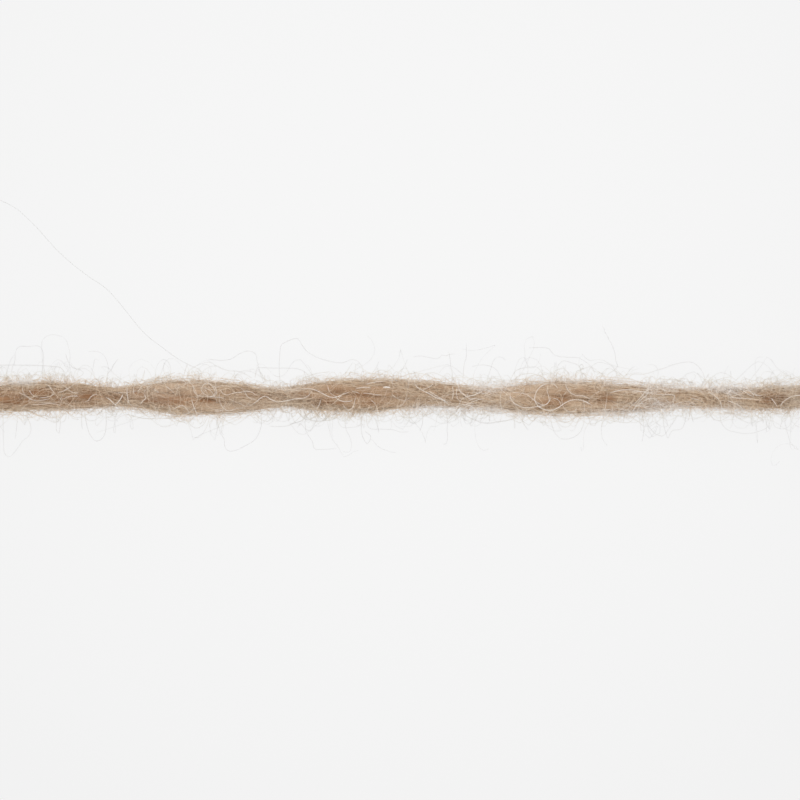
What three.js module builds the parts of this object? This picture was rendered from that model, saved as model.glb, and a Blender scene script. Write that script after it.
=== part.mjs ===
// Cashmere lace yarn: a cut length of one two-ply strand, lying loose on a surface.
// Millimetres, +X along the strand, +Z up, origin on the surface under the middle of its box.
//
// Two soft spun plies turn round each other in a right-handed (Z) ply twist. From above, the
// strand is wide where the plies lie side by side and narrow where one lies over the other.
// It touches the surface at those narrow places, where the lower ply is pressed flat, and at
// its two cut ends. Its middle lies straight, and its ends bow aside, one to each side.

import * as THREE from "three";
import { mergeVertices } from "three/addons/utils/BufferGeometryUtils.js";

// Driving dimensions, in millimetres.
const CUT_LENGTH = 32; // one end of the strand to the other
const STRAIGHT_HALF = 9.5; // from the middle to where each end starts to bow aside
const END_BOW = 1.2; // how far aside each cut end lies
const REST_FLAT = 0.06; // how far the strand is pressed in where it touches the surface
const FACETS_ROUND = 24;
const FACETS_ALONG = 112;
const MERGE_DISTANCE = 1e-4;

// The strand's build along its length: a row where the plies lie side by side (a whole number
// of half turns), one where they are stacked (a half), one where it strays furthest sideways,
// and one at each end.
//   along      distance from the strand's middle
//   halfTurns  ply twist, counted from the first row where the plies lie side by side
//   plyRadius  radius of one ply
//   spread     distance from the strand's axis to the middle of a ply
//   sway       how far the axis strays sideways, apart from the bow of the ends
//   touches    whether the strand meets the surface there
const SECTIONS = [
  { along: -16.0, halfTurns: -0.3, plyRadius: 0.26, spread: 0.19, sway: 0.0, touches: true },
  { along: -14.8, halfTurns: 0.0, plyRadius: 0.27, spread: 0.2, sway: 0.01, touches: false },
  { along: -12.3, halfTurns: 0.5, plyRadius: 0.28, spread: 0.18, sway: 0.0, touches: true },
  { along: -9.7, halfTurns: 1.0, plyRadius: 0.28, spread: 0.16, sway: 0.02, touches: false },
  { along: -7.4, halfTurns: 1.5, plyRadius: 0.275, spread: 0.2, sway: 0.03, touches: true },
  { along: -5.4, halfTurns: 2.0, plyRadius: 0.28, spread: 0.23, sway: -0.01, touches: false },
  { along: -3.05, halfTurns: 2.5, plyRadius: 0.27, spread: 0.21, sway: -0.03, touches: true },
  { along: -1.2, halfTurns: 3.0, plyRadius: 0.28, spread: 0.2, sway: 0.04, touches: false },
  { along: 0.6, halfTurns: 3.25, plyRadius: 0.27, spread: 0.18, sway: 0.08, touches: false },
  { along: 2.3, halfTurns: 3.5, plyRadius: 0.28, spread: 0.19, sway: -0.04, touches: true },
  { along: 4.5, halfTurns: 4.0, plyRadius: 0.28, spread: 0.21, sway: -0.01, touches: false },
  { along: 7.6, halfTurns: 4.5, plyRadius: 0.265, spread: 0.15, sway: -0.02, touches: true },
  { along: 9.7, halfTurns: 5.0, plyRadius: 0.25, spread: 0.11, sway: -0.02, touches: false },
  { along: 12.2, halfTurns: 5.5, plyRadius: 0.27, spread: 0.16, sway: 0.0, touches: true },
  { along: 14.7, halfTurns: 6.0, plyRadius: 0.27, spread: 0.2, sway: 0.0, touches: false },
  { along: 16.0, halfTurns: 6.3, plyRadius: 0.26, spread: 0.19, sway: 0.0, touches: true },
];

const TOUCHING = SECTIONS.filter((row) => row.touches);

/** The value of one column at a place along the strand, in even steps from row to row. */
function columnAt(rows, column, along) {
  const last = rows.length - 1;
  if (along <= rows[0].along) {
    return column(rows[0]);
  }
  if (along >= rows[last].along) {
    return column(rows[last]);
  }
  const next = rows.findIndex((row) => row.along > along);
  const from = rows[next - 1];
  const to = rows[next];
  const share = (along - from.along) / (to.along - from.along);
  return THREE.MathUtils.lerp(column(from), column(to), share);
}

/** Height of the strand's axis over the surface at a row where it touches. */
function touchingRise(row) {
  const lowerPly = row.spread * Math.abs(Math.sin(Math.PI * row.halfTurns));
  return lowerPly + row.plyRadius - REST_FLAT;
}

/** The strand's section at a place along it, with its axis and the axis's slope sideways. */
function sectionAt(along) {
  const past = Math.max(Math.abs(along) - STRAIGHT_HALF, 0) / (CUT_LENGTH / 2 - STRAIGHT_HALF);
  const bow = Math.sign(along) * END_BOW * past ** 2;
  const slope = (2 * END_BOW * past) / (CUT_LENGTH / 2 - STRAIGHT_HALF);
  return {
    turn: Math.PI * columnAt(SECTIONS, (row) => row.halfTurns, along),
    plyRadius: columnAt(SECTIONS, (row) => row.plyRadius, along),
    spread: columnAt(SECTIONS, (row) => row.spread, along),
    aside: bow + columnAt(SECTIONS, (row) => row.sway, along),
    slope: Math.atan(slope),
    rise: columnAt(TOUCHING, touchingRise, along),
  };
}

/** Distance from the strand's axis to its surface, for two round plies side by side. */
function reach(section, angle) {
  const across = section.spread * Math.sin(angle);
  const outwards = section.spread * Math.abs(Math.cos(angle));
  return outwards + Math.sqrt(section.plyRadius ** 2 - across ** 2);
}

/** The two plies as one closed solid, cut square at both ends. */
function makeStrand() {
  const geometry = new THREE.CylinderGeometry(1, 1, CUT_LENGTH, FACETS_ROUND, FACETS_ALONG);
  geometry.deleteAttribute("normal");
  geometry.deleteAttribute("uv");
  geometry.rotateZ(-Math.PI / 2);

  const points = geometry.attributes.position;
  for (let i = 0; i < points.count; i += 1) {
    const along = points.getX(i);
    const fromAxis = Math.hypot(points.getY(i), points.getZ(i));
    const angle = Math.atan2(points.getZ(i), points.getY(i));
    const section = sectionAt(along);
    const distance = fromAxis * reach(section, angle);
    const sideways = distance * Math.cos(angle + section.turn);
    const upwards = distance * Math.sin(angle + section.turn);
    const x = along - sideways * Math.sin(section.slope);
    const y = section.aside + sideways * Math.cos(section.slope);
    points.setXYZ(i, x, y, Math.max(section.rise + upwards, 0));
  }

  const strand = mergeVertices(geometry, MERGE_DISTANCE);
  strand.computeBoundingBox();
  const middle = strand.boundingBox.getCenter(new THREE.Vector3());
  strand.translate(-middle.x, -middle.y, 0);
  strand.computeVertexNormals();
  return strand;
}

const yarn = new THREE.MeshStandardMaterial({ color: 0xb0997f, roughness: 0.95, metalness: 0 });

const strand = new THREE.Mesh(makeStrand(), yarn);
strand.name = "strand";

const part = new THREE.Group();
part.add(strand);

export default part;
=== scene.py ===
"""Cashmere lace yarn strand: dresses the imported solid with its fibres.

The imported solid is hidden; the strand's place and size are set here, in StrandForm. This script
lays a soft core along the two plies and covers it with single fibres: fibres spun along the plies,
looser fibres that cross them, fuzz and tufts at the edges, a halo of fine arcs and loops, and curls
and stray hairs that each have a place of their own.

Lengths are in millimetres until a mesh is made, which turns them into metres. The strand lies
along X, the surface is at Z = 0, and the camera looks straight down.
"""

import logging
import math
from dataclasses import dataclass
from enum import Enum
from typing import ClassVar

import bpy
import numpy as np
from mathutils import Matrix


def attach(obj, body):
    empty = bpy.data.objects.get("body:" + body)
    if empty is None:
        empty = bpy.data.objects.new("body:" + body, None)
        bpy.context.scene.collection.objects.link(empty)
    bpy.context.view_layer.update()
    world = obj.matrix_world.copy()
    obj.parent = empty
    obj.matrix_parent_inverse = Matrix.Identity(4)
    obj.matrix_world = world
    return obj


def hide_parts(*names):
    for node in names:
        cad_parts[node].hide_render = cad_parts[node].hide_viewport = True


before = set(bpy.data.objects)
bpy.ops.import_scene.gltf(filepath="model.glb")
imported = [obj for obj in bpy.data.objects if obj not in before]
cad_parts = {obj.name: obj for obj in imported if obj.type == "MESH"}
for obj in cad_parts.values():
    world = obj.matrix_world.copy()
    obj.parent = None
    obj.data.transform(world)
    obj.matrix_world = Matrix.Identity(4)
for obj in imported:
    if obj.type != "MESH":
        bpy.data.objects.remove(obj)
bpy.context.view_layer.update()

LOG = logging.getLogger("yarn")
MM = 0.001
TINY = 1e-9
FULL_TURN = 2 * math.pi
WAVES = 3
WAVE_SPREAD = 0.6
NODE = "strand"
BODY = "root"
BAKE_MAP = "OFBake"


# --- Even steps and chance -----------------------------------------------------------------


def smooth_step(low: float, high: float, value: np.ndarray) -> np.ndarray:
    """0 below low, 1 above high, and an even rise between them."""
    share = np.clip((value - low) / (high - low), 0, 1)
    return share * share * (3 - 2 * share)


def waves(
    rng: np.random.Generator, run: np.ndarray, lengths: tuple[float, float], swing: float
) -> np.ndarray:
    """Smooth random swings along fibres, each the sum of a few waves.

    Args:
        rng: the source of chance.
        run: distance along each fibre, by fibre and step.
        lengths: the shortest and the longest wavelength.
        swing: about how far a fibre swings.

    Returns:
        An array like run.
    """
    total = np.zeros_like(run)
    for _ in range(WAVES):
        length = rng.uniform(*lengths, (len(run), 1))
        phase = rng.uniform(0, FULL_TURN, (len(run), 1))
        height = rng.normal(0, WAVE_SPREAD, (len(run), 1))
        total += height * np.sin(FULL_TURN * run / length + phase)
    return swing * total


# --- The strand's form ---------------------------------------------------------------------


@dataclass(frozen=True)
class Section:
    """One row of the strand's build, in millimetres and half turns of the ply twist.

    spread is the distance from the axis to a ply's middle, sway how far the axis lies aside,
    touches whether the lower ply rests on the surface, and tone how light the fibres are.
    """

    along: float
    half_turns: float
    ply_radius: float
    spread: float
    sway: float
    touches: bool
    tone: float


# From one cut end to the other.
SECTIONS = (
    Section(-16.0, -0.3, 0.26, 0.19, 0.0, True, 0.5),
    Section(-14.8, 0.0, 0.27, 0.2, 0.01, False, 0.5),
    Section(-12.3, 0.5, 0.28, 0.18, 0.0, True, 0.4),
    Section(-9.7, 1.0, 0.275, 0.15, 0.01, False, 0.2),
    Section(-7.4, 1.5, 0.27, 0.2, 0.015, True, 0.45),
    Section(-5.4, 2.0, 0.3, 0.232, -0.01, False, 0.6),
    Section(-3.7, 2.36, 0.258, 0.208, -0.05, False, 0.56),
    Section(-3.05, 2.5, 0.25, 0.2, -0.035, True, 0.55),
    Section(-2.1, 2.76, 0.252, 0.2, 0.04, False, 0.42),
    Section(-1.2, 3.0, 0.272, 0.2, 0.04, False, 0.3),
    Section(0.6, 3.25, 0.27, 0.18, 0.08, False, 0.65),
    Section(2.3, 3.5, 0.29, 0.19, -0.03, True, 0.8),
    Section(4.4, 4.0, 0.285, 0.225, -0.02, False, 0.7),
    Section(6.3, 4.3, 0.297, 0.187, -0.012, False, 0.79),
    Section(7.6, 4.5, 0.278, 0.155, -0.015, True, 0.85),
    Section(8.8, 4.78, 0.218, 0.12, -0.045, False, 0.75),
    Section(9.7, 5.0, 0.23, 0.096, -0.025, False, 0.55),
    Section(12.2, 5.5, 0.27, 0.16, 0.0, True, 0.5),
    Section(14.7, 6.0, 0.27, 0.2, 0.0, False, 0.5),
    Section(16.0, 6.3, 0.26, 0.19, 0.0, True, 0.5),
)


@dataclass(frozen=True)
class Cloud:
    """A patch of the strand seen from above, in millimetres, with what it adds to the tone.

    A patch that takes tone away is painted shade, for a deeper and less covered place. A patch with
    grey also looks looser and greyer than the fibres round it.
    """

    along: float
    aside: float
    length: float
    width: float
    tone: float
    grey: float = 0.0


# The darker patches are painted shade in deeper, less covered places.
CLOUDS = (
    Cloud(-6.6, 0.0, 0.7, 0.6, -0.25),
    Cloud(-4.8, 0.0, 0.5, 0.6, 0.15),
    Cloud(-2.4, 0.0, 0.5, 0.6, -0.2),
    Cloud(6.9, -0.15, 0.28, 0.09, 0.6),
    Cloud(6.5, 0.0, 0.8, 0.6, 0.3),
    Cloud(8.9, 0.0, 0.5, 0.6, 0.2),
    Cloud(-6.4, 0.12, 0.9, 0.3, 0.0, 0.22),
    Cloud(-4.2, -0.2, 0.5, 0.16, 0.0, 0.2),
    Cloud(-2.9, -0.05, 0.7, 0.5, 0.0, 0.16),
    Cloud(10.3, 0.05, 0.5, 0.5, 0.0, 0.2),
    Cloud(-10.0, 0.38, 0.55, 0.1, 1.0),
    Cloud(-8.0, 0.24, 0.6, 0.14, -0.5),
    Cloud(-5.8, -0.12, 0.45, 0.16, -0.45),
    Cloud(-4.25, 0.22, 0.45, 0.2, -0.7),
    Cloud(3.85, -0.22, 0.6, 0.2, -0.75),
    Cloud(5.5, 0.08, 0.4, 0.2, -0.2),
    Cloud(5.4, -0.38, 0.6, 0.1, 0.35),
    Cloud(0.9, -0.28, 0.55, 0.11, 0.75),
    Cloud(1.6, 0.08, 0.35, 0.14, -0.25),
    Cloud(2.3, -0.32, 0.35, 0.1, 0.35),
    Cloud(3.0, 0.26, 0.35, 0.1, 0.35),
    Cloud(6.2, 0.0, 0.3, 0.1, -0.6),
    Cloud(9.75, -0.27, 0.5, 0.13, -1.05),
    Cloud(10.3, 0.15, 0.3, 0.25, 0.4),
    Cloud(-10.3, -0.12, 0.35, 0.1, -0.8),
    Cloud(-9.4, 0.15, 0.25, 0.08, -0.7),
    Cloud(-8.5, -0.34, 0.9, 0.08, 0.55),
    Cloud(-8.2, 0.0, 0.2, 0.1, -0.8),
    Cloud(-7.45, 0.0, 0.3, 0.08, -0.6),
    Cloud(-6.3, -0.1, 0.4, 0.08, -0.9),
    Cloud(-5.05, -0.1, 0.3, 0.06, -0.9),
    Cloud(-3.3, 0.05, 0.45, 0.1, -0.6),
    Cloud(-2.15, -0.15, 0.25, 0.08, -0.7),
    Cloud(-1.65, 0.18, 0.25, 0.1, -0.4),
    Cloud(-1.6, -0.2, 0.35, 0.07, -0.5),
    Cloud(-0.95, 0.03, 0.3, 0.09, -0.2),
    Cloud(-0.75, -0.18, 0.3, 0.09, -0.6),
    Cloud(0.75, 0.25, 0.25, 0.08, -0.4),
    Cloud(1.15, 0.2, 0.15, 0.08, -0.6),
    Cloud(1.8, 0.1, 0.15, 0.06, -0.7),
    Cloud(2.3, 0.1, 0.45, 0.2, 0.4),
    Cloud(4.25, -0.02, 0.25, 0.1, -0.45),
    Cloud(4.8, 0.15, 0.3, 0.1, -0.7),
    Cloud(5.45, -0.02, 0.25, 0.12, -0.65),
    Cloud(6.0, 0.21, 0.3, 0.05, -0.7),
    Cloud(6.75, 0.05, 0.15, 0.05, -0.5),
    Cloud(7.6, 0.04, 0.4, 0.12, -0.65),
    Cloud(8.2, -0.14, 0.3, 0.12, -0.7),
    Cloud(8.6, 0.2, 0.45, 0.12, 0.7),
    Cloud(9.1, 0.12, 0.1, 0.04, -0.7),
    Cloud(9.6, -0.02, 0.25, 0.1, -0.7),
    Cloud(10.15, 0.0, 0.3, 0.12, -0.75),
)


@dataclass(frozen=True)
class StrandForm:
    """Where the strand's axis and its two plies run, and how light and loose its fibres look.

    Sizes are in millimetres. middle_shade and rim_light say how much darker the fibres are painted
    along the middle and how much lighter along the edges: painted shade and painted light for the
    bright surface shining through the strand's thinner edges. middle_shade_width and rim_light_span
    say where, in half widths of the strand. fading says how far beside the plies hairs turn paler and
    greyer still, partly painted light as well. SHIFTS holds the steps over which the sections are
    eased, in shares of easing, and their weights.
    """

    cut_length: float = 32.0
    straight_half: float = 9.5
    end_bow: float = 1.2
    rest_flat: float = 0.06
    sections: tuple[Section, ...] = SECTIONS
    clouds: tuple[Cloud, ...] = CLOUDS
    easing: float = 0.7
    # Painted shade along the middle and painted light along the edges, as seen from above.
    middle_shade: float = 0.25
    middle_shade_width: float = 0.45
    rim_light: float = 0.22
    rim_light_span: tuple[float, float] = (0.4, 0.9)
    fading: tuple[float, float] = (0.12, 0.42)

    SHIFTS: ClassVar[tuple[tuple[float, float], ...]] = (
        (-0.9, 0.12),
        (-0.5, 0.23),
        (0.0, 0.3),
        (0.5, 0.23),
        (0.9, 0.12),
    )

    @property
    def half(self) -> float:
        """Half the cut length."""
        return self.cut_length / 2

    def column(self, name: str, along: np.ndarray) -> np.ndarray:
        """One column of the sections, eased over a short way so that no row shows as a kink.

        Args:
            name: the column's name in Section.
            along: places along the strand.

        Returns:
            The column's value at each place.
        """
        rows = [row.along for row in self.sections]
        values = [getattr(row, name) for row in self.sections]
        return self._eased(rows, values, along)

    def _eased(self, rows: list[float], values: list[float], along: np.ndarray) -> np.ndarray:
        """The weighted mean of straight steps from row to row, a little before and after.

        Args:
            rows: where the rows are.
            values: their values.
            along: places along the strand.

        Returns:
            The mean at each place.
        """
        return sum(
            weight * np.interp(along + self.easing * shift, rows, values)
            for shift, weight in self.SHIFTS
        )

    def turn(self, along: np.ndarray) -> np.ndarray:
        """The ply twist, in radians."""
        return math.pi * self.column("half_turns", along)

    def rise(self, along: np.ndarray) -> np.ndarray:
        """Height of the axis over the surface, from the places where the strand touches it.

        Args:
            along: places along the strand.

        Returns:
            The height at each place.
        """
        touching = [row for row in self.sections if row.touches]
        heights = [self._touching_rise(row) for row in touching]
        return self._eased([row.along for row in touching], heights, along)

    def _touching_rise(self, row: Section) -> float:
        """Height of the axis at a row where the lower ply rests on the surface."""
        lower = row.spread * abs(math.sin(math.pi * row.half_turns))
        return lower + row.ply_radius - self.rest_flat

    def _bowed(self, along: np.ndarray) -> np.ndarray:
        """How far into a bowed end places lie: 0 up to its start, 1 at the cut."""
        return np.maximum(np.abs(along) - self.straight_half, 0) / (self.half - self.straight_half)

    def aside(self, along: np.ndarray) -> np.ndarray:
        """How far sideways the axis lies."""
        bow = np.sign(along) * self.end_bow * self._bowed(along) ** 2
        return bow + self.column("sway", along)

    def slope(self, along: np.ndarray) -> np.ndarray:
        """The axis's sideways slope in its bowed ends, in radians."""
        end = self.half - self.straight_half
        return np.arctan(2 * self.end_bow * self._bowed(along) / end)

    def place(self, along: np.ndarray, sideways: np.ndarray, upwards: np.ndarray) -> np.ndarray:
        """Points from their offsets to the axis.

        Args:
            along: places along the strand.
            sideways: offset across the strand, level with the surface.
            upwards: offset away from the surface.

        Returns:
            An array with one more axis, of x, y and z.
        """
        slope = self.slope(along)
        x = along - sideways * np.sin(slope)
        y = self.aside(along) + sideways * np.cos(slope)
        return np.stack([x, y, self.rise(along) + upwards], axis=-1)

    def tone(self, along: np.ndarray, aside: np.ndarray) -> np.ndarray:
        """How light the fibres are at places seen from above, with painted shade along the middle and
        painted light along the edges.

        Args:
            along: places along the strand.
            aside: how far sideways they lie.

        Returns:
            A number for each place, greater where the fibres are lighter.
        """
        across = (aside - self.aside(along)) / self.half_width(along)
        # Painted shade along the middle and painted light along the edges, for the bright surface shining
        # through the strand's thinner edges.
        middle_shade = self.middle_shade * np.exp(-((across / self.middle_shade_width) ** 2))
        rim_light = self.rim_light * smooth_step(*self.rim_light_span, np.abs(across))
        # The clouds add painted shade where the strand is deeper and less covered.
        return self.column("tone", along) - middle_shade + rim_light + self._patches("tone", along, aside)

    def lift(self, points: np.ndarray, span: tuple[float, float]) -> np.ndarray:
        """How loose and grey fibres look, partly painted light for the bright surface shining through
        thin
        fibres: 0 in the plies, 1 in the fuzz and 2 far out.

        Args:
            points: places, with x, y and z on the last axis.
            span: how far beside the plies the fuzz starts, and where it is reached in full.

        Returns:
            A number for each place.
        """
        grey = np.clip(self._patches("grey", points[..., 0], points[..., 1]), 0, 1)
        beside = self.beside(points)
        return grey + (1 - grey) * smooth_step(*span, beside) + smooth_step(*self.fading, beside)

    def _patches(self, name: str, along: np.ndarray, aside: np.ndarray) -> np.ndarray:
        """The sum of one column of the clouds at places seen from above.

        Args:
            name: the column's name in Cloud.
            along: places along the strand.
            aside: how far sideways they lie.

        Returns:
            The sum at each place.
        """
        total = np.zeros_like(along)
        for cloud in self.clouds:
            run = ((along - cloud.along) / cloud.length) ** 2
            across = ((aside - cloud.aside) / cloud.width) ** 2
            total = total + getattr(cloud, name) * np.exp(-run - across)
        return total

    def half_width(self, along: np.ndarray) -> np.ndarray:
        """How far the plies reach to the side of the axis."""
        spread = self.column("spread", along) * np.abs(np.cos(self.turn(along)))
        return spread + self.column("ply_radius", along)

    def beside(self, points: np.ndarray) -> np.ndarray:
        """How far points lie outside the plies, seen from above."""
        along = points[..., 0]
        return np.abs(points[..., 1] - self.aside(along)) - self.half_width(along)

    def top(self, along: np.ndarray, aside: np.ndarray) -> np.ndarray:
        """Height of the plies' upper side, or of the axis where there is no ply below.

        Args:
            along: places along the strand.
            aside: how far sideways they lie.

        Returns:
            The height at each place.
        """
        sideways = aside - self.aside(along)
        turn = self.turn(along)
        spread = self.column("spread", along)
        radius = self.column("ply_radius", along)
        best = np.zeros_like(along)
        for sign in (-1.0, 1.0):
            off = sideways - sign * spread * np.cos(turn)
            height = sign * spread * np.sin(turn) + np.sqrt(np.maximum(radius**2 - off**2, 0))
            best = np.maximum(best, np.where(np.abs(off) < radius, height, 0.0))
        return self.rise(along) + best

    def on_ply(
        self, ply: np.ndarray, along: np.ndarray, angle: np.ndarray, depth: np.ndarray
    ) -> np.ndarray:
        """Points on or round a ply.

        Args:
            ply: 0 or 1 for each point.
            along: places along the strand.
            angle: angle round the ply's own middle, in radians.
            depth: distance from the ply's middle, in ply radii.

        Returns:
            Points in millimetres.
        """
        turn = self.turn(along) + math.pi * ply
        spread = self.column("spread", along)
        radius = depth * self.column("ply_radius", along)
        sideways = spread * np.cos(turn) + radius * np.cos(angle)
        upwards = spread * np.sin(turn) + radius * np.sin(angle)
        return self.place(along, sideways, upwards)

    def reach(
        self, along: np.ndarray, angle: np.ndarray, share: float, waist: float = 0.25
    ) -> np.ndarray:
        """Distance from the axis to the surface of the plies.

        Args:
            along: places along the strand.
            angle: angle round the axis, in radians.
            share: how much of their full radius the plies have.
            waist: how thick the strand stays between the plies, in ply radii.

        Returns:
            The distances in millimetres.
        """
        angle = angle - self.turn(along)
        spread = self.column("spread", along)
        radius = share * self.column("ply_radius", along)
        across = spread * np.sin(angle)
        gap = np.sqrt(np.maximum(radius**2 - across**2, (waist * radius) ** 2))
        return spread * np.abs(np.cos(angle)) + gap


# --- Finishes ------------------------------------------------------------------------------


class Tone(Enum):
    """Colours of the fibres, as linear red, green and blue."""

    # The darkest fibres' brown, also used as painted shade in the core's hollows and where the tone is
    # painted darker.
    DARK_AND_SHADE = (0.4, 0.22, 0.116)
    BODY = (0.784, 0.6285, 0.466)
    PALE = (0.955, 0.892, 0.83)
    # Paler and greyer colours of loose and stray fibres: partly their own colour as single thin fibres,
    # partly painted light for the bright surface shining through them.
    LOOSE_AND_BACKLIT = (0.8, 0.772, 0.7)
    STRAY_AND_BACKLIT = (0.762, 0.757, 0.75)

    @property
    def solid(self) -> tuple[float, float, float, float]:
        """The colour with full opacity."""
        return (*self.value, 1.0)


def feed(node: bpy.types.Node, feeds: dict[str | int, object]) -> None:
    """Feeds a node's inputs.

    Args:
        node: the node.
        feeds: for each input, by name or number, a socket to link or a value to set.
    """
    for name, value in feeds.items():
        if isinstance(value, bpy.types.NodeSocket):
            node.id_data.links.new(value, node.inputs[name])
        else:
            node.inputs[name].default_value = value


def add_node(
    tree: bpy.types.NodeTree, kind: str, feeds: dict[str | int, object], **settings: object
) -> bpy.types.Node:
    """Adds a node to a tree.

    Args:
        tree: the node tree.
        kind: the type of the node.
        feeds: what its inputs get, as for feed.
        settings: the node's own settings, which are made first.

    Returns:
        The new node.
    """
    node = tree.nodes.new(kind)
    for name, value in settings.items():
        setattr(node, name, value)
    feed(node, feeds)
    return node


def attribute(tree: bpy.types.NodeTree, name: str, output: str = "Fac") -> bpy.types.NodeSocket:
    """What an attribute of the mesh holds."""
    return add_node(tree, "ShaderNodeAttribute", {}, attribute_name=name).outputs[output]


def maths(tree: bpy.types.NodeTree, operation: str, *feeds: object) -> bpy.types.NodeSocket:
    """The result of a Math node fed with sockets or plain numbers."""
    return add_node(tree, "ShaderNodeMath", dict(enumerate(feeds)), operation=operation).outputs[0]


def mix(tree: bpy.types.NodeTree, factor: object, first: object, second: object) -> bpy.types.NodeSocket:
    """A mix of two colours, the second more as the factor grows."""
    feeds = {"Factor": factor, "A": first, "B": second}
    return add_node(tree, "ShaderNodeMix", feeds, data_type="RGBA").outputs["Result"]


def new_material(name: str) -> bpy.types.Material:
    """Starts a material.

    Args:
        name: its name.

    Returns:
        A material with its Principled shader and nothing else.
    """
    material = bpy.data.materials.new(name)
    material.use_nodes = True
    return material


@dataclass(frozen=True)
class Tint:
    """The fibres' colour, as a node group that every finish shares.

    It reads three attributes of the mesh: shade, a number of its own for each fibre, lift, from
    0 deep in a ply to 1 in the fuzz and 2 out among the stray hairs, which turns fibres paler and
    greyer, partly as painted light, and tone, which changes along and across the strand and holds
    painted shade along its middle and painted light along its edges. body and pale are the shades
    of those two colours, and top is the highest shade.
    """

    detail: float = 2.0
    tone_share: float = 0.45
    body: float = 0.6
    pale: float = 1.15
    top: float = 1.35
    roughness: float = 0.65
    smoother: float = 0.15

    def make(self) -> bpy.types.NodeTree:
        """Builds the group.

        Returns:
            A node group with Mottle and Scale inputs and Colour and Roughness outputs.
        """
        tree = bpy.data.node_groups.new("fibre_tint", "ShaderNodeTree")
        tree.interface.new_socket("Mottle", in_out="INPUT", socket_type="NodeSocketFloat")
        tree.interface.new_socket("Scale", in_out="INPUT", socket_type="NodeSocketFloat")
        tree.interface.new_socket("Colour", in_out="OUTPUT", socket_type="NodeSocketColor")
        tree.interface.new_socket("Roughness", in_out="OUTPUT", socket_type="NodeSocketFloat")
        entry = tree.nodes.new("NodeGroupInput").outputs

        place = tree.nodes.new("ShaderNodeTexCoord").outputs["Object"]
        spots = {"Vector": place, "Scale": entry["Scale"], "Detail": self.detail}
        noise = add_node(tree, "ShaderNodeTexNoise", spots).outputs["Fac"]
        mottle = maths(tree, "MULTIPLY", maths(tree, "SUBTRACT", noise, 0.5), entry["Mottle"])
        shade = maths(tree, "ADD", attribute(tree, "shade"), mottle)
        shade = maths(tree, "MULTIPLY_ADD", attribute(tree, "tone"), self.tone_share, shade)

        # Further out the fibres turn paler and greyer: partly painted light for the bright surface
        # shining through them.
        lift = attribute(tree, "lift")
        loose = mix(tree, lift, self._spun(tree, shade), Tone.LOOSE_AND_BACKLIT.solid)
        stray = mix(tree, maths(tree, "SUBTRACT", lift, 1.0), loose, Tone.STRAY_AND_BACKLIT.solid)
        roughness = maths(tree, "MULTIPLY_ADD", shade, -self.smoother, self.roughness)
        add_node(tree, "NodeGroupOutput", {"Colour": stray, "Roughness": roughness})
        return tree

    def _spun(self, tree: bpy.types.NodeTree, shade: bpy.types.NodeSocket) -> bpy.types.NodeSocket:
        """The colour of fibres in the plies, from a dark brown that also serves as painted shade through
        tan to pale.

        Args:
            tree: the group's node tree.
            shade: how light each fibre is.

        Returns:
            The colour's socket.
        """
        node = add_node(tree, "ShaderNodeValToRGB", {"Fac": maths(tree, "DIVIDE", shade, self.top)})
        node.color_ramp.interpolation = "EASE"
        deep, pale = node.color_ramp.elements
        deep.position = 0.0
        deep.color = Tone.DARK_AND_SHADE.solid
        pale.position = self.pale / self.top
        pale.color = Tone.PALE.solid
        body = node.color_ramp.elements.new(self.body / self.top)
        body.color = Tone.BODY.solid
        return node.outputs["Color"]


@dataclass(frozen=True)
class FibreFinish:
    """A finish for fibres: their colour comes from the shared tint, with a soft natural gloss."""

    name: str
    mottle: float = 0.4
    scale: float = 2500.0
    gloss: float = 0.2
    sheen: float = 0.0
    sheen_roughness: float = 0.4

    def make(self, tint: bpy.types.NodeTree) -> bpy.types.Material:
        """Builds the material.

        Args:
            tint: the shared fibre tint group.

        Returns:
            The finished material.
        """
        material = new_material(self.name)
        tree = material.node_tree
        mottled = {"Mottle": self.mottle, "Scale": self.scale}
        fibre = add_node(tree, "ShaderNodeGroup", mottled, node_tree=tint).outputs
        surface = {
            "Base Color": fibre["Colour"],
            "Roughness": fibre["Roughness"],
            "Specular IOR Level": self.gloss,
            "Sheen Weight": self.sheen,
            "Sheen Roughness": self.sheen_roughness,
        }
        feed(tree.nodes["Principled BSDF"], surface)
        return material


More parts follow.
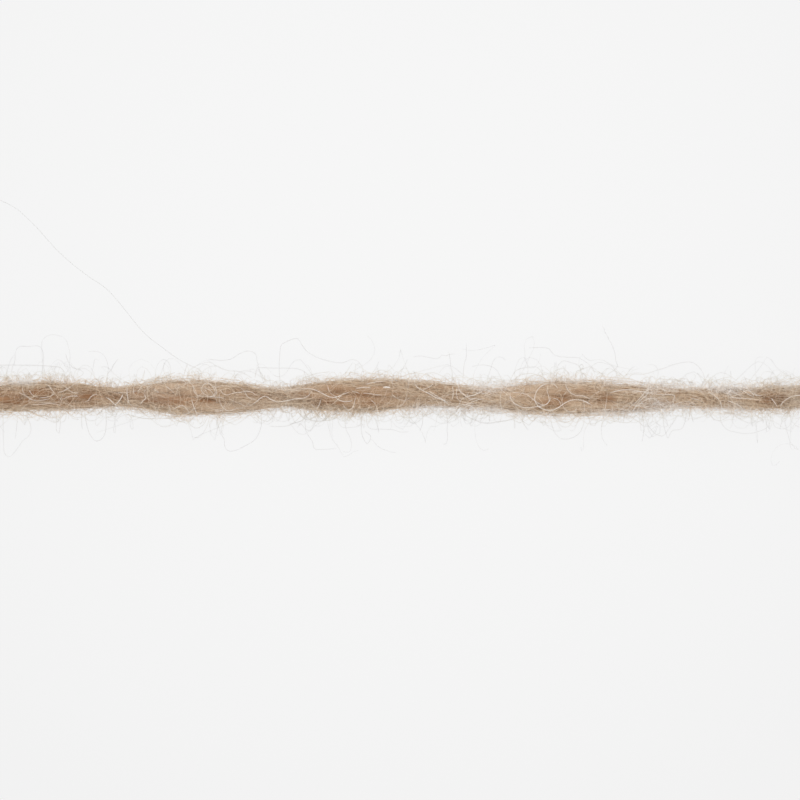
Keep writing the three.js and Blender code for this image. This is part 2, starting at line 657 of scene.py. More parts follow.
@dataclass(frozen=True)
class CoreFinish:
    """The matt mass of fibres inside the plies: fine streaks along them, with painted shade in the
    hollows.

    least is the share of the fibres' own colour in the darkest streaks, the rest being painted shade,
    and contrast how much more of it the lightest have. bump is in metres.
    """

    name: str
    mottle: float = 0.5
    scale: float = 1800.0
    streaks: tuple[float, float, float] = (1.6, 5.5, 5.5)
    streak_scale: float = 3.0
    streak_detail: float = 3.0
    least: float = 0.4
    contrast: float = 0.4
    bump: float = 0.00002
    gloss: float = 0.15

    def make(self, tint: bpy.types.NodeTree) -> bpy.types.Material:
        """Builds the material.

        Args:
            tint: the shared fibre tint group.

        Returns:
            The finished material.
        """
        material = new_material(self.name)
        tree = material.node_tree
        mottled = {"Mottle": self.mottle, "Scale": self.scale}
        fibre = add_node(tree, "ShaderNodeGroup", mottled, node_tree=tint).outputs

        drawn_out = {"Vector": attribute(tree, "lay", "Vector"), "Scale": self.streaks}
        lay = add_node(tree, "ShaderNodeMapping", drawn_out).outputs["Vector"]
        noise = {"Vector": lay, "Scale": self.streak_scale, "Detail": self.streak_detail}
        streak = add_node(tree, "ShaderNodeTexNoise", noise).outputs["Fac"]
        # Painted shade: the hollows between the streaks are mixed towards the dark brown.
        light = maths(tree, "MULTIPLY_ADD", streak, self.contrast, self.least)
        bump = add_node(tree, "ShaderNodeBump", {"Distance": self.bump, "Height": streak})
        surface = {
            "Base Color": mix(tree, light, Tone.DARK_AND_SHADE.solid, fibre["Colour"]),
            "Roughness": fibre["Roughness"],
            "Normal": bump.outputs["Normal"],
            "Specular IOR Level": self.gloss,
        }
        feed(tree.nodes["Principled BSDF"], surface)
        return material


# --- Making fibres -------------------------------------------------------------------------


def write_attributes(mesh: bpy.types.Mesh, **columns: np.ndarray) -> None:
    """Writes numbers as attributes of a mesh.

    Args:
        mesh: the mesh.
        columns: for each attribute's name, one number for each vertex.
    """
    for name, numbers in columns.items():
        held = mesh.attributes.new(name, "FLOAT", "POINT")
        held.data.foreach_set("value", numbers.astype(np.float32))


@dataclass
class Fibres:
    """A number of fibres laid as centrelines, ready to be made one joined mesh.

    points holds the centrelines in millimetres, by fibre, step and x, y, z. radius, lift and
    tone hold one number for each step, and shade one for each fibre. SIDES is how many sides a
    fibre has, and STEEP how upright it may start. On the map for baking, STRIP and BAND say where
    a fibre's strip starts and how far it goes, along and across, and TIP where its ends lie.
    """

    points: np.ndarray
    radius: np.ndarray
    shade: np.ndarray
    lift: np.ndarray
    tone: np.ndarray

    SIDES: ClassVar[int] = 3
    STEEP: ClassVar[float] = 0.8
    COLUMNS: ClassVar[int] = 4
    STRIP: ClassVar[tuple[float, float]] = (0.01, 0.98)
    BAND: ClassVar[tuple[float, float]] = (0.1, 0.8)
    TIP: ClassVar[tuple[tuple[float, float], ...]] = ((0.0, 0.15), (0.004, 0.5), (0.0, 0.85))

    def _frames(self) -> tuple[np.ndarray, np.ndarray]:
        """Two directions across each step of each fibre, carried along without twist.

        Returns:
            Both directions, by fibre, step and x, y, z.
        """
        ahead = np.gradient(self.points, axis=1)
        ahead /= np.maximum(np.linalg.norm(ahead, axis=2, keepdims=True), TINY)
        across = np.empty_like(ahead)
        level = np.abs(ahead[:, 0, 2:]) < self.STEEP
        start = np.where(level, (0.0, 0.0, 1.0), (0.0, 1.0, 0.0))
        for step in range(ahead.shape[1]):
            tangent = ahead[:, step]
            start = start - (start * tangent).sum(1, keepdims=True) * tangent
            start = start / np.maximum(np.linalg.norm(start, axis=1, keepdims=True), TINY)
            across[:, step] = start
        return across, np.cross(ahead, across)

    def _corners(self) -> np.ndarray:
        """The fibres' outer corners, none of them below the surface.

        Returns:
            Vertices in metres, by fibre, step and side.
        """
        first, second = self._frames()
        angles = FULL_TURN * np.arange(self.SIDES) / self.SIDES
        ring = (
            np.cos(angles)[:, None] * first[:, :, None, :]
            + np.sin(angles)[:, None] * second[:, :, None, :]
        )
        corners = self.points[:, :, None, :] + self.radius[:, :, None, None] * ring
        corners[..., 2] = np.maximum(corners[..., 2], 0.0)
        return corners * MM

    def _faces(self) -> tuple[np.ndarray, np.ndarray]:
        """Which corners make the faces.

        Returns:
            Corner numbers of the four-sided walls, and of the three-sided ends.
        """
        count, steps, _ = self.points.shape
        number = np.arange(count * steps * self.SIDES).reshape(count, steps, self.SIDES)
        beside = np.roll(number, -1, axis=2)
        walls = np.stack(
            [number[:, :-1], beside[:, :-1], beside[:, 1:], number[:, 1:]], axis=-1
        ).reshape(-1, 4)
        ends = np.concatenate([number[:, 0, ::-1], number[:, -1]])
        return walls, ends

    def _bake_places(self) -> np.ndarray:
        """A neat map for baking: each fibre is a strip of its own, in a few columns.

        Returns:
            A place on the map for each corner of each face, walls first and then the ends.
        """
        count, steps, _ = self.points.shape
        rows = -(-count // self.COLUMNS)
        fibre = np.arange(count)
        left = (fibre // rows)[:, None, None, None] / self.COLUMNS
        low = (fibre % rows)[:, None, None, None] / rows
        step = np.arange(steps - 1)[None, :, None, None] + np.array([0, 0, 1, 1])
        side = np.arange(self.SIDES)[None, None, :, None] + np.array([0, 1, 1, 0])
        start, length = self.STRIP
        base, width = self.BAND
        u = left + (start + length * step / (steps - 1)) / self.COLUMNS
        v = low + (base + width * side / self.SIDES) / rows
        shape = (count, steps - 1, self.SIDES, 4)
        walls = np.stack([np.broadcast_to(u, shape), np.broadcast_to(v, shape)], axis=-1)
        tip_along, tip_across = np.array(self.TIP).T
        tips = []
        for at in (start, start + length):
            tip = np.empty((count, self.SIDES, 2))
            tip[..., 0] = left[:, 0, 0] + (at + tip_along) / self.COLUMNS
            tip[..., 1] = low[:, 0, 0] + tip_across / rows
            tips.append(tip.reshape(-1, 2))
        return np.concatenate([walls.reshape(-1, 2), *tips])

    def make(self, name: str, material: bpy.types.Material) -> bpy.types.Object:
        """Makes one joined mesh of thin round fibres with closed ends.

        Args:
            name: the piece's name.
            material: its finish.

        Returns:
            The finished piece, at the origin.
        """
        corners = self._corners()
        walls, ends = self._faces()
        mesh = bpy.data.meshes.new(name)
        mesh.vertices.add(corners.size // 3)
        mesh.vertices.foreach_set("co", corners.astype(np.float32).ravel())
        sizes = np.concatenate([np.full(len(walls), 4), np.full(len(ends), 3)])
        mesh.loops.add(int(sizes.sum()))
        mesh.loops.foreach_set("vertex_index", np.concatenate([walls.ravel(), ends.ravel()]))
        mesh.polygons.add(len(sizes))
        mesh.polygons.foreach_set("loop_start", np.cumsum(sizes) - sizes)
        mesh.polygons.foreach_set("use_smooth", np.ones(len(sizes), bool))
        mesh.update(calc_edges=True)
        uv = mesh.uv_layers.new(name=BAKE_MAP)
        uv.uv.foreach_set("vector", self._bake_places().astype(np.float32).ravel())
        write_attributes(
            mesh,
            shade=self._by_corner(self.shade[:, None]),
            lift=self._by_corner(self.lift),
            tone=self._by_corner(self.tone),
        )
        mesh.materials.append(material)
        piece = bpy.data.objects.new(name, mesh)
        bpy.context.scene.collection.objects.link(piece)
        return finish_piece(piece)

    def _by_corner(self, values: np.ndarray) -> np.ndarray:
        """Numbers by fibre and step, repeated for each corner."""
        return np.repeat(np.broadcast_to(values, self.points.shape[:2]).ravel(), self.SIDES)


def finish_piece(piece: bpy.types.Object) -> bpy.types.Object:
    """Says which body a piece belongs to, and reports it.

    Args:
        piece: a finished piece, in place.

    Returns:
        The same piece.
    """
    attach(piece, BODY)
    triangles = sum(len(face.vertices) - 2 for face in piece.data.polygons)
    LOG.info("%s: %d triangles", piece.name, triangles)
    return piece


# --- The pieces ----------------------------------------------------------------------------


@dataclass
class Core:
    """The two plies as one soft body, a little slimmer than the fibres that cover it. Its dark colour is
    painted shade, for the shadowed fibres deep inside the plies.

    share is how much of their full radius its plies have, waist how thick it stays between
    them, and weld, in metres, how close the corners are that become one. ridges is how many fine
    ridges of two kinds run along it, and ridge_lean and ridge_wander how they cross it.
    """

    form: StrandForm
    share: float = 0.605
    waist: float = 0.95
    rings: int = 360
    facets: int = 72
    end_inset: float = 0.05
    end_rounding: float = 0.12
    end_start: float = 0.35
    ridge: float = 0.006
    ridges: tuple[int, int] = (23, 31)
    ridge_lean: tuple[float, float] = (1.3, -0.8)
    ridge_wander: float = 2.0
    lay_size: float = 3.0
    # Dark, as painted shade for the fibres deep inside the plies.
    shade: float = 0.22
    fuzz_span: tuple[float, float] = (0.0, 0.3)
    weld: float = 1e-8

    def build(self, material: bpy.types.Material) -> bpy.types.Object:
        """Rolls a flat grid into the two-ply body and closes its ends.

        Args:
            material: the core's finish.

        Returns:
            The finished piece.
        """
        bpy.ops.object.select_all(action="DESELECT")
        bpy.ops.mesh.primitive_grid_add(x_subdivisions=self.rings, y_subdivisions=self.facets, size=1)
        piece = bpy.context.object
        piece.name = piece.data.name = "core"
        self._roll(piece.data)
        bpy.ops.object.mode_set(mode="EDIT")
        bpy.ops.mesh.select_all(action="SELECT")
        bpy.ops.mesh.remove_doubles(threshold=self.weld)
        bpy.ops.mesh.select_all(action="DESELECT")
        bpy.ops.mesh.select_non_manifold()
        bpy.ops.mesh.edge_face_add()
        bpy.ops.mesh.select_all(action="SELECT")
        bpy.ops.mesh.normals_make_consistent(inside=False)
        bpy.ops.object.mode_set(mode="OBJECT")
        bpy.ops.object.shade_smooth()
        piece.data.materials.append(material)
        return finish_piece(piece)

    def _roll(self, mesh: bpy.types.Mesh) -> None:
        """Moves the grid's vertices on to the two plies and writes how the fibres lie there.

        Args:
            mesh: the flat grid, one unit long and wide.
        """
        flat = np.empty(len(mesh.vertices) * 3, np.float32)
        mesh.vertices.foreach_get("co", flat)
        flat = flat.reshape(-1, 3).astype(float)
        along = flat[:, 0] * (self.form.cut_length - 2 * self.end_inset)
        angle = FULL_TURN * (flat[:, 1] + 0.5)
        world = angle + self.form.turn(along)
        reach = self.form.reach(along, world, self.share, self.waist) * self._end_shape(along)
        reach = reach + self.ridge * self._ridges(along, angle)
        points = self.form.place(along, reach * np.cos(world), reach * np.sin(world))
        points[:, 2] = np.maximum(points[:, 2], 0.0)
        mesh.vertices.foreach_set("co", (points * MM).astype(np.float32).ravel())
        circle = self.lay_size * np.stack([np.cos(angle), np.sin(angle)])
        lay = np.stack([along, *circle], axis=-1)
        held = mesh.attributes.new("lay", "FLOAT_VECTOR", "POINT")
        held.data.foreach_set("vector", lay.astype(np.float32).ravel())
        write_attributes(
            mesh,
            shade=np.full(len(along), self.shade),
            lift=self.form.lift(points, self.fuzz_span),
            tone=self.form.tone(points[:, 0], points[:, 1]),
        )

    def _end_shape(self, along: np.ndarray) -> np.ndarray:
        """The share of its thickness that the core has, less close to its ends."""
        to_end = np.minimum(self.form.half - np.abs(along), self.end_rounding) / self.end_rounding
        return self.end_start + (1 - self.end_start) * np.sqrt(1 - (1 - to_end) ** 2)

    def _ridges(self, along: np.ndarray, angle: np.ndarray) -> np.ndarray:
        """The fine ridges that the fibres leave on the core.

        Args:
            along: places along the strand.
            angle: angle round the core, which turns with the plies.

        Returns:
            A number for each place, up to 2 on a ridge and down to -2 between two.
        """
        first = self.ridges[0] * angle + self.ridge_lean[0] * along
        second = self.ridges[1] * angle + self.ridge_lean[1] * along
        return np.sin(first) + np.sin(second + self.ridge_wander * np.sin(along))

    def centreline(self) -> list[tuple[float, float, float]]:
        """The strand's axis in metres.

        Returns:
            A point every millimetre, from one cut end to the other.
        """
        along = np.linspace(-self.form.half, self.form.half, round(self.form.cut_length) + 1)
        nought = np.zeros_like(along)
        return [tuple(point) for point in self.form.place(along, nought, nought) * MM]


@dataclass
class PlyFibres:
    """Fibres spun into the plies: they run along them, wander a little and end outside.

    inner and spread say how far from the ply's middle they lie, in ply radii, and arc how far
    round it, to either side of its outermost line. crossing is how steeply they cross the ply,
    and swing and sink how far they wander round it and in and out of it. Their ends, from
    end_from on, rise out of the ply and grow thinner.
    """

    form: StrandForm
    name: str
    seed: int
    count: int = 1350
    steps: int = 16
    length: tuple[float, float] = (2.4, 5.2)
    inner: float = 0.38
    spread: float = 0.28
    arc: float = 2.5
    crossing: float = 0.45
    swing: float = 0.32
    swing_waves: tuple[float, float] = (0.8, 3.2)
    sink: float = 0.05
    sink_waves: tuple[float, float] = (0.8, 3.0)
    end_from: float = 0.62
    end_lift: float = 0.125
    end_taper: float = 0.5
    thickness: tuple[float, float] = (0.0055, 0.007)
    shade: float = 0.42
    shade_spread: float = 0.06
    fuzz_span: tuple[float, float] = (-0.1, 0.28)

    def build(self, material: bpy.types.Material) -> bpy.types.Object:
        """Lays the fibres and makes them one mesh.

        Args:
            material: the fibres' finish.

        Returns:
            The finished piece.
        """
        rng = np.random.default_rng(self.seed)
        half = self.form.half
        column = (self.count, 1)
        middle = rng.uniform(-half, half, column)
        length = rng.uniform(*self.length, column)
        begin = np.maximum(middle - length / 2, -half)
        end = np.minimum(middle + length / 2, half)
        share = np.linspace(0, 1, self.steps)[None, :]
        along = begin + (end - begin) * share
        run = along - begin
        ply = rng.integers(0, 2, column)
        outwards = self.form.turn(middle) + math.pi * ply
        angle = outwards + rng.uniform(-self.arc, self.arc, column)
        angle = angle + rng.normal(0, self.crossing, column) * (along - middle)
        angle = angle + waves(rng, run, self.swing_waves, self.swing)
        depth = np.sqrt(self.inner**2 + 2 * self.spread**2 * rng.exponential(1, column))
        depth = depth + waves(rng, run, self.sink_waves, self.sink)
        ends = smooth_step(self.end_from, 1.0, np.abs(2 * share - 1))
        depth = depth + self.end_lift * ends * rng.exponential(1, column)
        points = self.form.on_ply(ply, along, angle, depth)
        radius = rng.uniform(*self.thickness, column) * (1 - self.end_taper * ends**2)
        points[..., 2] = np.maximum(points[..., 2], radius)
        shade = np.clip(rng.normal(self.shade, self.shade_spread, self.count), 0, 1)
        lift = self.form.lift(points, self.fuzz_span)
        tone = self.form.tone(points[..., 0], points[..., 1])
        return Fibres(points, radius, shade, lift, tone).make(self.name, material)


@dataclass(frozen=True)
class Tuft:
    """A place at one side of the strand where loose fibres crowd together.

    side is 1 on the side of +Y and -1 on the other, and share how many of the fibres it gets.
    """

    along: float
    side: int
    length: float
    share: float = 1.0


TUFTS = (
    Tuft(-10.4, 1, 0.3, 1.1),
    Tuft(-9.6, 1, 0.4, 1.0),
    Tuft(-8.8, 1, 0.3),
    Tuft(-7.6, -1, 0.25),
    Tuft(-5.3, 1, 0.3, 0.5),
    Tuft(-2.9, 1, 0.3),
    Tuft(-2.4, -1, 0.3, 2.0),
    Tuft(-1.7, -1, 0.35, 2.0),
    Tuft(-1.1, -1, 0.3, 0.8),
    Tuft(0.4, -1, 0.3),
    Tuft(1.4, -1, 0.35),
    Tuft(2.6, -1, 0.4, 1.2),
    Tuft(4.9, 1, 0.5),
    Tuft(6.5, -1, 0.4, 0.5),
    Tuft(8.0, 1, 0.25, 0.6),
    Tuft(9.8, 1, 0.3),
    Tuft(10.3, -1, 0.3),
)


@dataclass
class Halo:
    """Loose fibres that leave the strand, bend in arcs and loops, and often come back to it.

    They start on a ply, root_depth ply radii from its middle and within root_arc of its
    outermost line, or at the tufts where there are any. bend is how tightly they curve and
    unrest how much the curve changes its direction. near is the share of the plies' radius at
    which they count as outside, far how far out they mostly get, and pull what turns them back
    there, and at the cut ends. Where they meet their lowest height, they bounce off it.
    """

    form: StrandForm
    name: str
    seed: int
    count: int
    steps: int
    length: tuple[float, float]
    bend: float = 2.0
    bend_spread: float = 0.6
    unrest: float = 0.25
    outwards: float = 0.45
    scatter: float = 0.25
    near: float = 0.9
    far: float = 0.16
    pull: float = 8.0
    pull_onset: float = 4.0
    end_onset: float = 6.0
    root_depth: float = 0.75
    root_arc: float = 2.2
    end_margin: float = 0.2
    tuft_arc: float = 0.5
    lowest: float = 0.012
    bounce: float = 0.3
    thickness: tuple[float, float] = (0.0045, 0.0065)
    tip: float = 0.6
    shade: float = 0.5
    shade_spread: float = 0.15
    fuzz_span: tuple[float, float] = (-0.03, 0.26)
    tufts: tuple[Tuft, ...] = ()

    def build(self, material: bpy.types.Material) -> bpy.types.Object:
        """Lets each fibre wander from its root and makes them one mesh.

        Args:
            material: the fibres' finish.

        Returns:
            The finished piece.
        """
        rng = np.random.default_rng(self.seed)
        points = self._wander(rng)
        taper = np.linspace(1, self.tip, self.steps)
        radius = rng.uniform(*self.thickness, (self.count, 1)) * taper
        shade = np.clip(rng.normal(self.shade, self.shade_spread, self.count), 0, 1)
        lift = self.form.lift(points, self.fuzz_span)
        tone = self.form.tone(points[..., 0], points[..., 1])
        return Fibres(points, radius, shade, lift, tone).make(self.name, material)

    def _outside(self, here: np.ndarray) -> tuple[np.ndarray, np.ndarray]:
        """Where points lie to the strand.

        Args:
            here: one point for each fibre.

        Returns:
            The way out from the axis, and how far outside the plies each point is.
        """
        x = here[:, 0]
        offset = here - np.stack([x, self.form.aside(x), self.form.rise(x)], axis=-1)
        away = np.maximum(np.linalg.norm(offset, axis=1), TINY)
        angle = np.arctan2(offset[:, 2], offset[:, 1])
        return offset / away[:, None], away - self.form.reach(x, angle, self.near)

    def _roots(self, rng: np.random.Generator) -> tuple[np.ndarray, np.ndarray, np.ndarray]:
        """Where the fibres leave the strand.

        Args:
            rng: the source of chance.

        Returns:
            For each fibre its place along the strand, its ply, and its angle round that ply.
        """
        limit = self.form.half - self.end_margin
        along = rng.uniform(-limit, limit, self.count)
        ply = rng.integers(0, 2, self.count)
        outermost = self.form.turn(along) + math.pi * ply
        angle = outermost + rng.uniform(-self.root_arc, self.root_arc, self.count)
        if self.tufts:
            shares = np.array([tuft.share for tuft in self.tufts])
            chosen = rng.choice(len(self.tufts), self.count, p=shares / shares.sum())
            middle = np.array([tuft.along for tuft in self.tufts])[chosen]
            length = np.array([tuft.length for tuft in self.tufts])[chosen]
            side = np.array([tuft.side for tuft in self.tufts])[chosen]
            along = middle + rng.normal(0, 1, self.count) * length
            ply = (side * np.cos(self.form.turn(along)) < 0).astype(int)
            angle = np.where(side > 0, 0.0, math.pi) + rng.normal(0, self.tuft_arc, self.count)
        return along, ply, angle

    def _wander(self, rng: np.random.Generator) -> np.ndarray:
        """The centrelines: steady random bends, drawn back to the strand when too far out.

        Args:
            rng: the source of chance.

        Returns:
            The centrelines' points.
        """
        count = self.count
        along, ply, angle = self._roots(rng)
        here = self.form.on_ply(ply, along, angle, np.full(count, self.root_depth))
        outwards = np.stack([np.zeros(count), np.cos(angle), np.sin(angle)], axis=-1)
        way = np.zeros((count, 3))
        way[:, 0] = rng.choice([-1.0, 1.0], count)
        way += outwards * np.abs(rng.normal(0, self.outwards, (count, 1)))
        way += rng.normal(0, self.scatter, (count, 3))
        way /= np.linalg.norm(way, axis=1, keepdims=True)
        axis = rng.normal(0, 1, (count, 3))
        strength = self.bend * rng.lognormal(0, self.bend_spread, (count, 1))
        limit = rng.exponential(self.far, count)
        step = rng.uniform(*self.length, (count, 1)) / (self.steps - 1)
        line = np.empty((count, self.steps, 3))
        for number in range(self.steps):
            line[:, number] = here
            out, beyond = self._outside(here)
            axis = axis + rng.normal(0, self.unrest, (count, 3))
            axis /= np.linalg.norm(axis, axis=1, keepdims=True)
            way = way + np.cross(axis, way) * strength * step
            over = np.clip(self.pull_onset * (beyond - limit), 0, 1)[:, None]
            way = way - self.pull * step * over * out
            past = np.clip(self.end_onset * (np.abs(here[:, 0]) - self.form.half), 0, 1)
            past *= np.sign(here[:, 0])
            way[:, 0] -= self.pull * step[:, 0] * past
            way /= np.linalg.norm(way, axis=1, keepdims=True)
            here = here + way * step
            low = here[:, 2] < self.lowest
            here[low, 2] = self.lowest
            way[low, 2] = np.abs(way[low, 2]) * self.bounce
        return line


@dataclass(frozen=True)
class Lay:
    """One fibre laid as given: its way seen from above, in millimetres along and aside.

    thick is its radius, shade how light it is, and over how high it runs over what is below.
    """

    way: tuple[tuple[float, float], ...]
    thick: float = 0.0085
    shade: float = 0.78
    over: float = 0.03


@dataclass
class LaidFibres:
    """Single fibres that each have a place of their own.

    They follow the top of the plies, more evenly after some smoothing passes. Their ends, from
    end_from on, dive into the strand and grow thinner, and swing is how far they rise and fall.
    """

    form: StrandForm
    name: str
    lays: tuple[Lay, ...]
    seed: int
    steps: int = 40
    passes: int = 4
    end_from: float = 0.75
    dive: float = 1.8
    end_taper: float = 0.45
    swing: float = 0.35
    swing_waves: tuple[float, float] = (0.3, 0.9)
    clearance: float = 1.5
    fuzz_span: tuple[float, float] = (0.0, 0.2)
    tone: float = 0.5

    def build(self, material: bpy.types.Material) -> bpy.types.Object:
        """Runs a smooth line through each fibre's points and makes them one mesh.

        Args:
            material: the fibres' finish.

        Returns:
            The finished piece.
        """
        rng = np.random.default_rng(self.seed)
        flat = np.stack([self._smooth(np.array(lay.way)) for lay in self.lays])
        run = np.linspace(0, 1, self.steps)[None, :] * np.ones((len(self.lays), 1))
        over = np.array([lay.over for lay in self.lays])[:, None]
        height = self.form.top(flat[..., 0], flat[..., 1])
        for _ in range(self.passes):
            height[:, 1:-1] = (height[:, :-2] + 2 * height[:, 1:-1] + height[:, 2:]) / 4
        ends = smooth_step(self.end_from, 1.0, np.abs(2 * run - 1))
        height = height + over * (1 - self.dive * ends)
        height = height + waves(rng, run, self.swing_waves, self.swing) * np.abs(over)
        points = np.stack([flat[..., 0], flat[..., 1], height], axis=-1)
        thick = np.array([lay.thick for lay in self.lays])[:, None]
        radius = thick * (1 - self.end_taper * ends**2)
        points[..., 2] = np.maximum(points[..., 2], self.clearance * radius)
        shade = np.array([lay.shade for lay in self.lays])
        beside = self.form.beside(points)
        # Paler and greyer beside the plies, partly painted light.
        lift = smooth_step(*self.fuzz_span, beside) + smooth_step(*self.form.fading, beside)
        tone = np.full(run.shape, self.tone)
        return Fibres(points, radius, shade, lift, tone).make(self.name, material)

    def _smooth(self, way: np.ndarray) -> np.ndarray:
        """A smooth line through points, in even steps.

        Args:
            way: the points, by x and y.

        Returns:
            The line's points.
        """
        chord = np.concatenate([[0.0], np.cumsum(np.linalg.norm(np.diff(way, axis=0), axis=1))])
        lean = np.gradient(way, chord, axis=0)
        at = np.linspace(0, chord[-1], self.steps)
        row = np.clip(np.searchsorted(chord, at) - 1, 0, len(chord) - 2)
        gap = (chord[row + 1] - chord[row])[:, None]
        t = (at - chord[row])[:, None] / gap
        return (
            (2 * t**3 - 3 * t**2 + 1) * way[row]
            + (t**3 - 2 * t**2 + t) * gap * lean[row]
            + (3 * t**2 - 2 * t**3) * way[row + 1]
            + (t**3 - t**2) * gap * lean[row + 1]
        )


